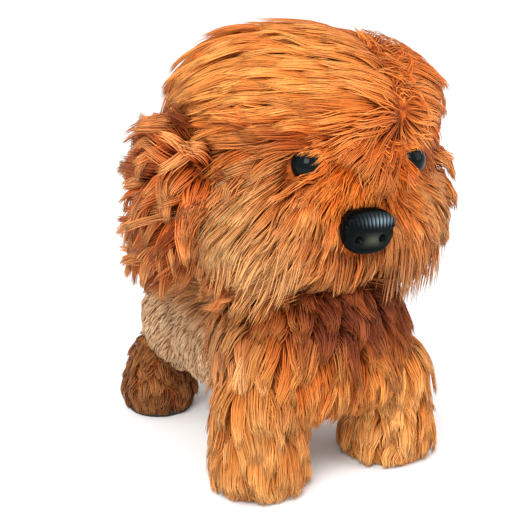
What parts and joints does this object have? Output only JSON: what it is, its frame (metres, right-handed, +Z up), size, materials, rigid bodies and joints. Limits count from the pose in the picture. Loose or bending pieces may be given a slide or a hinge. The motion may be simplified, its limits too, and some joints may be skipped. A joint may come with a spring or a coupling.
{
  "type": "interactive plush pet",
  "caption": "Battery-driven walking plush puppy: geared crank, swinging linked legs, nodding head and wagging tail under long curly fur.",
  "frame": {"origin": "on the floor, in the middle of the bounding box, between the feet", "axes": "+Z up, the dog faces -Y, its left side is +X"},
  "size_m": [0.1284, 0.152, 0.1817],
  "materials": {
    "head_fur": "matte",
    "body_fur": "matte",
    "moulded_shell": "satin",
    "acetal": "satin",
    "steel": "satin",
    "black_gloss": "gloss",
    "sole_rubber": "matte",
    "cell_wrap": "satin",
    "circuit_board": "satin",
    "motor_can": "satin",
    "brass": "satin",
    "speaker_cone": "matte",
    "dark_plastic": "satin"
  },
  "bodies": {
    "chassis": {"chassis_left": "moulded_shell", "chassis_right": "moulded_shell", "chassis_screw_1": "steel", "chassis_screw_2": "steel", "chassis_screw_3": "steel", "body_plush": "body_fur", "motor": "motor_can", "second_axle": "steel", "first_axle": "steel", "battery_1": "cell_wrap", "battery_2": "cell_wrap", "contact_spring_1": "steel", "contact_spring_2": "steel", "front_contact": "steel", "rear_contact": "steel", "circuit_board": "circuit_board", "speaker": "speaker_cone", "switch_housing": "dark_plastic", "front_left_hip_pin": "steel", "front_right_hip_pin": "steel", "rear_left_hip_pin": "steel", "rear_right_hip_pin": "steel", "neck_pin": "steel", "tail_pin": "steel"},
    "front_left_leg": {"front_left_leg_frame": "moulded_shell", "front_left_leg_plush": "body_fur", "front_left_sole": "sole_rubber"},
    "front_right_leg": {"front_right_leg_frame": "moulded_shell", "front_right_leg_plush": "body_fur", "front_right_sole": "sole_rubber"},
    "rear_left_leg": {"rear_left_leg_frame": "moulded_shell", "rear_left_leg_plush": "body_fur", "rear_left_sole": "sole_rubber"},
    "rear_right_leg": {"rear_right_leg_frame": "moulded_shell", "rear_right_leg_plush": "body_fur", "rear_right_sole": "sole_rubber"},
    "left_rod": {"left_link_rod": "steel"},
    "right_rod": {"right_link_rod": "steel"},
    "crank": {"crank_shaft": "steel", "crank_left": "acetal", "crank_right": "acetal", "nod_cam": "acetal", "output_gear": "acetal"},
    "second_gear": {"second_gear": "acetal"},
    "first_gear": {"first_gear": "acetal"},
    "motor_pinion": {"motor_pinion": "brass"},
    "head": {"neck_arm": "acetal", "skull_front": "moulded_shell", "skull_back": "moulded_shell", "head_plush": "head_fur", "left_eye": "black_gloss", "right_eye": "black_gloss", "nose": "black_gloss", "left_ear": "head_fur", "right_ear": "head_fur"},
    "tail": {"tail_core": "moulded_shell", "tail_plush": "body_fur"},
    "switch_knob": {"switch_knob": "dark_plastic"},
    "battery_door": {"battery_door": "moulded_shell", "door_screw": "steel"}
  },
  "joints": [
    {"name": "front_left_swing", "type": "hinge", "parent": "chassis", "child": "front_left_leg", "pos_m": [0.022, -0.044, 0.048], "axis": [1, 0, 0], "range_deg": [-12, 12]},
    {"name": "front_right_swing", "type": "hinge", "parent": "chassis", "child": "front_right_leg", "pos_m": [-0.022, -0.044, 0.048], "axis": [1, 0, 0], "range_deg": [-12, 12]},
    {"name": "rear_left_swing", "type": "hinge", "parent": "chassis", "child": "rear_left_leg", "pos_m": [0.022, 0.044, 0.048], "axis": [1, 0, 0], "range_deg": [-12, 12]},
    {"name": "rear_right_swing", "type": "hinge", "parent": "chassis", "child": "rear_right_leg", "pos_m": [-0.022, 0.044, 0.048], "axis": [1, 0, 0], "range_deg": [-12, 12]},
    {"name": "left_rod_pivot", "type": "hinge", "parent": "front_left_leg", "child": "left_rod", "pos_m": [0.0249, -0.044, 0.041], "axis": [1, 0, 0], "range_deg": [-12, 12]},
    {"name": "right_rod_pivot", "type": "hinge", "parent": "front_right_leg", "child": "right_rod", "pos_m": [-0.0249, -0.044, 0.041], "axis": [1, 0, 0], "range_deg": [-12, 12]},
    {"name": "crank_turn", "type": "hinge", "parent": "chassis", "child": "crank", "pos_m": [0, -0.044, 0.06], "axis": [1, 0, 0], "continuous": true},
    {"name": "second_gear_turn", "type": "hinge", "parent": "chassis", "child": "second_gear", "pos_m": [0, -0.03483, 0.056], "axis": [1, 0, 0], "continuous": true},
    {"name": "first_gear_turn", "type": "hinge", "parent": "chassis", "child": "first_gear", "pos_m": [0, -0.02567, 0.06], "axis": [1, 0, 0], "continuous": true},
    {"name": "motor_turn", "type": "hinge", "parent": "chassis", "child": "motor_pinion", "pos_m": [0, -0.0165, 0.056], "axis": [1, 0, 0], "continuous": true},
    {"name": "head_nod", "type": "hinge", "parent": "chassis", "child": "head", "pos_m": [0, -0.027, 0.074], "axis": [1, 0, 0], "range_deg": [-6, 6]},
    {"name": "tail_wag", "type": "hinge", "parent": "chassis", "child": "tail", "pos_m": [0, 0.0485, 0.0515], "axis": [0, 0, 1], "range_deg": [-15, 15]},
    {"name": "switch_slide", "type": "slide", "parent": "chassis", "child": "switch_knob", "axis": [0, 1, 0], "range_m": [0, 0.004]},
    {"name": "battery_door_lift", "type": "slide", "parent": "chassis", "child": "battery_door", "axis": [0, 0, -1], "range_m": [0, 0.012]}
  ],
  "couplings": [
    {"joint": "front_right_swing", "follows": "front_left_swing", "ratio": -1},
    {"joint": "rear_left_swing", "follows": "front_left_swing", "ratio": -1},
    {"joint": "rear_right_swing", "follows": "front_left_swing", "ratio": 1},
    {"joint": "left_rod_pivot", "follows": "front_left_swing", "ratio": -1},
    {"joint": "right_rod_pivot", "follows": "front_left_swing", "ratio": 1},
    {"joint": "second_gear_turn", "follows": "crank_turn", "ratio": -4},
    {"joint": "first_gear_turn", "follows": "crank_turn", "ratio": 16},
    {"joint": "motor_turn", "follows": "crank_turn", "ratio": -64}
  ]
}
